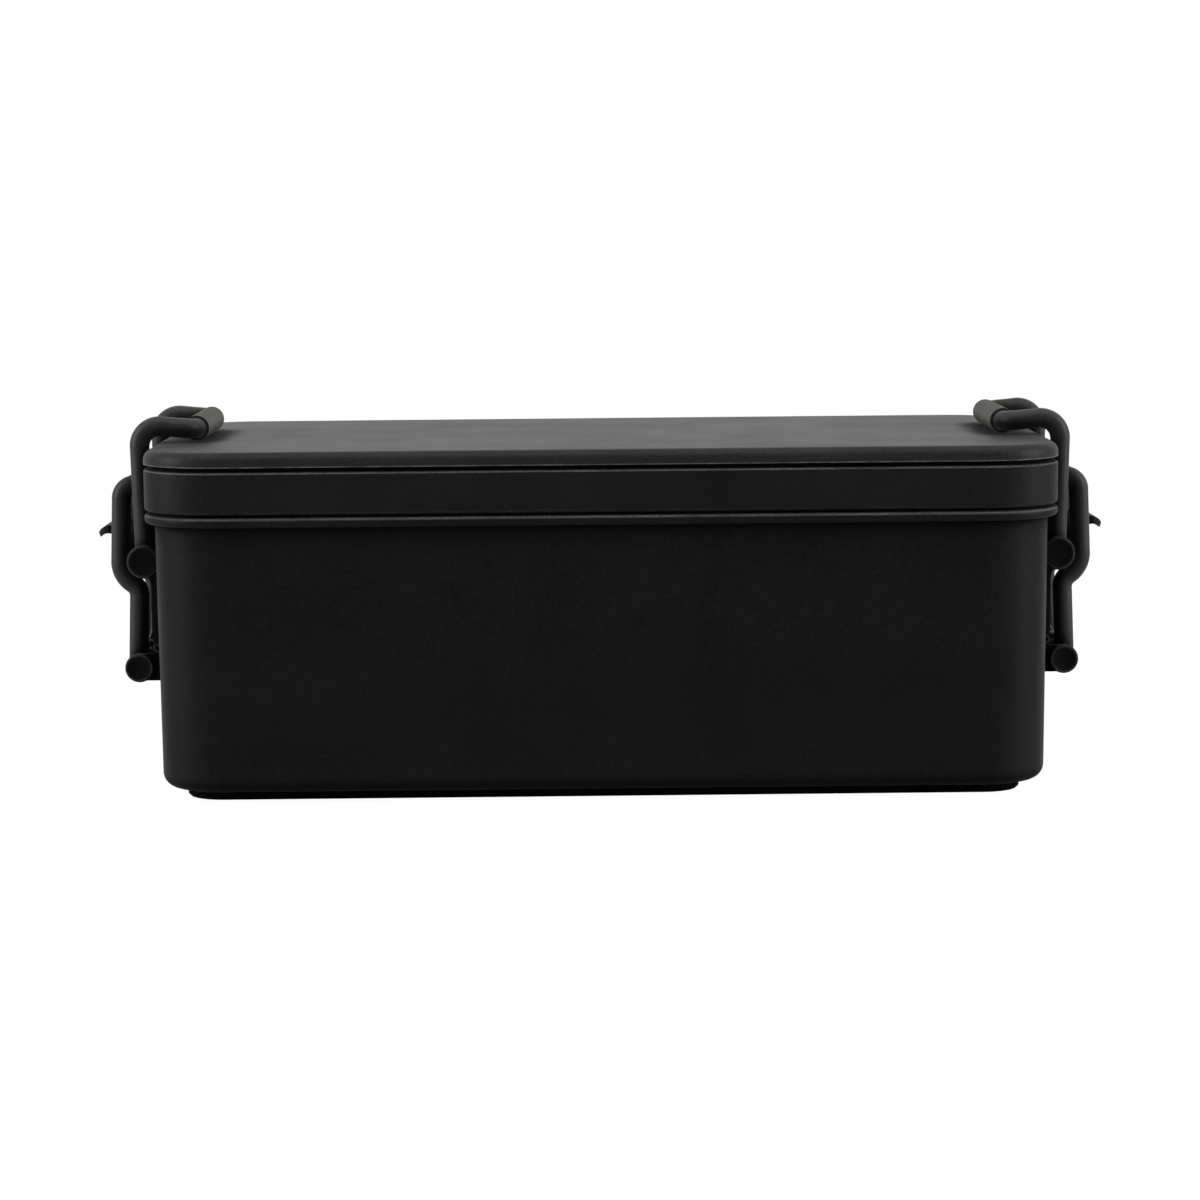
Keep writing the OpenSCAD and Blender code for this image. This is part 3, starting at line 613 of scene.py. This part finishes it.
# %% [markdown]
# ## Dress the solids
#
# Each solid keeps its shape, and its material slot gets the finish of that name.

# %% Dress
slot_of = {part["node"]: part["material_slot"] for part in frame["record"]["subparts"]}
for node, slot in slot_of.items():
    mesh = nodes[node].data
    mesh.materials.clear()
    mesh.materials.append(finishes[slot])
print("dressed", len(slot_of), "solids in", len(set(slot_of.values())), "finishes")

# %% [markdown]
# ## Finishing a new piece
#
# Every new piece is drawn in millimetres, for the right-hand end, and ends the same way. Its doubles are
# merged, and one scale turns it into metres and mirrors it where it is for the left-hand end. A mirrored
# shape is inside out, so its faces are turned outwards after that. Then its sharp edges are marked, so that
# smooth shading stops there, and it is told which body carries it.

# %% Piece helpers
merge_mm = 0.001


def both_ends_across(bm):
    """Adds the mirror image of a bmesh across the box's long middle plane."""
    bmesh.ops.mirror(bm, geom=bm.verts[:] + bm.edges[:] + bm.faces[:], axis="Y", merge_dist=-1)


def make_piece(name, bm, side, body, slot, crease=35):
    """Ends a piece. Edges that turn by more than the crease, in degrees, stay sharp."""
    bmesh.ops.remove_doubles(bm, verts=bm.verts, dist=merge_mm)
    bmesh.ops.scale(bm, verts=bm.verts, vec=(SIDES[side] * MM, MM, MM))
    bmesh.ops.recalc_face_normals(bm, faces=bm.faces)
    for face in bm.faces:
        face.smooth = True
    for edge in bm.edges:
        if edge.is_manifold and edge.calc_face_angle() > math.radians(crease):
            edge.smooth = False
    mesh = bpy.data.meshes.new(name)
    bm.to_mesh(mesh)
    bm.free()
    mesh.materials.append(finishes[slot])
    piece = bpy.data.objects.new(name, mesh)
    bpy.context.scene.collection.objects.link(piece)
    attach(piece, body)
    print(name, len(mesh.polygons), "faces")
    return piece


# %% [markdown]
# ## Springs
#
# A small torsion spring sits round the lever's pin at each of its ends. One leg hooks over the tube in the
# bracket, and the other lies along the lever's arm, tacked to it. A wire is made as a spring maker makes
# it: a ring of vertices is the wire's end, straight runs extrude it, and turns spin it about an axis. A
# full coil is a spin with a small step sideways each time.
#
# The coil stays on the box and the second leg moves with the lever, so they are two pieces that meet on
# the last turn. The leg is set a little to the side of that turn: it still touches it, and as the lever
# swings out the leg only grazes the wire's side.

# %% Wire bending
def wire_end(place, radius, sides=12):
    """A new bmesh with one ring that lies flat, and its edges."""
    bm = bmesh.new()
    bmesh.ops.create_circle(bm, segments=sides, radius=radius)
    bmesh.ops.translate(bm, verts=bm.verts, vec=place)
    return bm, bm.edges[:]


def ring_of(bm, geometry):
    """The edges of the ring that an operator has just made."""
    verts = {item for item in geometry if isinstance(item, bmesh.types.BMVert)}
    return [edge for edge in bm.edges if edge.verts[0] in verts and edge.verts[1] in verts]


def run_wire(bm, ring, move):
    made = bmesh.ops.extrude_edge_only(bm, edges=ring)["geom"]
    verts = [item for item in made if isinstance(item, bmesh.types.BMVert)]
    bmesh.ops.translate(bm, verts=verts, vec=move)
    return ring_of(bm, made)


def turn_wire(bm, ring, centre, degrees, steps, lead=0.0):
    """Turns the wire about an axis along Y. A positive angle goes from +X up to +Z."""
    made = bmesh.ops.spin(bm, geom=ring, cent=centre, axis=(0, -1, 0), dvec=(0, lead / steps, 0),
                          angle=math.radians(degrees), steps=steps, use_merge=False)["geom_last"]
    return ring_of(bm, made)


def close_wire(bm, *rings):
    for ring in rings:
        bmesh.ops.contextual_create(bm, geom=ring)


# %% Spring sizes
spring_r = 0.4
coil_r = 2.6
coil_turns = 3.5
coil_pitch = 0.9
coil_steps = 24                         # to one turn
leg_y = 10.6
leg_step = 0.62
coil_y = leg_y - leg_step - coil_turns * coil_pitch
anchor_x, anchor_up = 95.3, 4.2
anchor = Vector((anchor_x, coil_y, lever_pin.z + anchor_up))
anchor_r = 0.95
hook_gap = 0.05
hook_r = anchor_r + spring_r + hook_gap
hook_turn = 135                         # the hook stops short of the bracket's plate
hook_steps = 8
leg_out, leg_up = 0.6, 4.5
leg_along = Vector((lever_pin.x + leg_out, leg_y, lever_pin.z + leg_up))
leg_lies = Vector((-0.15, 0, 4.5))
leg_end = leg_along + leg_lies
leg_leaves = Vector((-0.2, 0, 1.2))
leg_meets = Vector((0.3, 0, -1.2))
print("coil from", round(coil_y, 2), "to", round(coil_y + coil_turns * coil_pitch, 2), "mm off the middle")

# %% Springs
def spring_coil():
    """A hook over the anchor tube, a short drop and the coil."""
    bm, tip = wire_end(anchor + Vector((-hook_r, 0, 0)), spring_r)
    start = Matrix.Rotation(math.radians(180 - hook_turn), 3, "Y")
    bmesh.ops.rotate(bm, verts=bm.verts, cent=anchor, matrix=start)
    ring = turn_wire(bm, tip, anchor, -hook_turn, hook_steps)
    coil_start = Vector((lever_pin.x - coil_r, coil_y, lever_pin.z))
    ring = run_wire(bm, ring, coil_start - (anchor + Vector((hook_r, 0, 0))))
    centre = Vector((lever_pin.x, coil_y, lever_pin.z))
    ring = turn_wire(bm, ring, centre, 360 * coil_turns, int(coil_steps * coil_turns),
                     coil_turns * coil_pitch)
    close_wire(bm, tip, ring)
    return bm


def spring_leg():
    """The leg that goes from the coil's last turn up the lever's arm."""
    start = Vector((lever_pin.x + coil_r, leg_y, lever_pin.z))
    bm, tip = wire_end(start, spring_r)
    way = [start, start + leg_leaves, leg_along + leg_meets, leg_along, leg_end]
    ring = tip
    for here, there in zip(way, way[1:]):
        ring = run_wire(bm, ring, there - here)
    close_wire(bm, tip, ring)
    return bm


for side in SIDES:
    wound = spring_coil()
    both_ends_across(wound)
    coils = make_piece(f"{side}_spring_coils", wound, side, "box", "spring_steel")
    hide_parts(f"{side}_springs")
    bent = spring_leg()
    both_ends_across(bent)
    make_piece(f"{side}_spring_legs", bent, side, f"{side}_lever", "spring_steel")

# %% [markdown]
# ## Welds
#
# The finger tab is welded between the lever's arms, and a weld bead is a row of small overlapping ripples.
# A ring that is extruded step by step, and swells a little on every second step, gives them. The ends are
# drawn in to a small tip, as where the arc is taken away. A small bead of the same kind tacks the spring's
# leg to the arm.

# %% Weld bead
bead_sides = 10
tip_share = 0.25
taper_start, taper_step = 0.45, 0.3


def weld_bead(place, length, radius, ripple_mm=0.55, swell=0.14):
    """A rippled bead along Z, with its middle at a place."""
    bm, first = wire_end(place - Vector((0, 0, length / 2)), tip_share * radius, bead_sides)
    ring = first
    steps = 2 * round(length / ripple_mm)
    rise = length / steps
    width = tip_share
    for step in range(1, steps + 1):
        ring = run_wire(bm, ring, (0, 0, rise))
        taper = min(1.0, taper_start + taper_step * min(step, steps - step))
        ripple = 1 + swell if step % 2 else 1 - swell
        wanted = taper * ripple if step < steps else tip_share
        verts = list({vert for edge in ring for vert in edge.verts})
        middle = place + Vector((0, 0, -length / 2 + step * rise))
        bmesh.ops.scale(bm, verts=verts, vec=(wanted / width, wanted / width, 1),
                        space=Matrix.Translation(-middle))
        width = wanted
    close_wire(bm, first, ring)
    return bm


def join(target, *others):
    """Moves the geometry of other bmeshes into the first."""
    for other in others:
        mesh = bpy.data.meshes.new("join")
        other.to_mesh(mesh)
        other.free()
        target.from_mesh(mesh)
        bpy.data.meshes.remove(mesh)
    return target


# %% Tab welds
lever_lean = math.radians(2)
lever_set = 0.7
arm_out = 4.1
arm_gap = 11.1
tab_half_t = 0.75
tab_low, tab_high = 19.9, 26.2
seam_short, bead_in, bead_r = 0.5, 0.05, 0.75
tack_place = Vector((0, 0.4, -0.9))
tack_length, tack_r, tack_ripple = 1.6, 0.45, 0.4


def lean_with_lever(bm):
    """Leans a piece, drawn beside an upright lever, as the lever leans about its pin."""
    bmesh.ops.translate(bm, verts=bm.verts, vec=(lever_set, 0, 0))
    bmesh.ops.rotate(bm, verts=bm.verts, cent=lever_pin, matrix=Matrix.Rotation(-lever_lean, 3, "Y"))


for side in SIDES:
    middle = lever_pin + Vector((arm_out, arm_gap, (tab_low + tab_high) / 2))
    seam = tab_high - tab_low - seam_short
    beads = join(weld_bead(middle + Vector((tab_half_t, -bead_in, 0)), seam, bead_r),
                 weld_bead(middle - Vector((tab_half_t, bead_in, 0)), seam, bead_r))
    lean_with_lever(beads)
    join(beads, weld_bead(leg_end + tack_place, tack_length, tack_r, tack_ripple))
    both_ends_across(beads)
    make_piece(f"{side}_tab_welds", beads, side, f"{side}_lever", "wire_coat", crease=80)

# %% [markdown]
# The bracket is spot welded to the end wall. Each spot leaves a shallow round dent with a soft rim in the
# sheet. It starts as a thin disc that is sunk in the sheet, and four insets of its upper face raise the
# rim and lower the middle.

# %% Spot welds
spot_r = 2.1
spot_rim = 0.12
plate_lean = math.radians(0.6)
plate_x_high = 93.95
plate_z_high = 57.1
disc_depth, disc_sunk = 0.2, 0.08
spot_insets = ((0.3, spot_rim), (0.2, 0.02), (0.35, -0.07), (0.5, -0.03))     # inwards, then upwards
spot_y = 6.5
spot_heights = (29.5, 41.0, 52.5)


def spot_weld(y, z):
    x = plate_x_high - (plate_z_high - z) * math.tan(plate_lean)
    bm = bmesh.new()
    bmesh.ops.create_cone(bm, cap_ends=True, segments=32, radius1=spot_r, radius2=spot_r, depth=disc_depth)
    upper = [face for face in bm.faces if face.normal.z > 0.9]
    for thickness, depth in spot_insets:
        bmesh.ops.inset_region(bm, faces=upper, thickness=thickness, depth=depth, use_even_offset=True)
    tilt = Matrix.Rotation(math.radians(90) + plate_lean, 3, "Y")
    bmesh.ops.rotate(bm, verts=bm.verts, cent=(0, 0, 0), matrix=tilt)
    bmesh.ops.translate(bm, verts=bm.verts, vec=(x - disc_sunk, y, z))
    return bm


for side in SIDES:
    spots = join(*[spot_weld(spot_y, z) for z in spot_heights])
    both_ends_across(spots)
    make_piece(f"{side}_spot_welds", spots, side, "box", "bracket_coat", crease=60)
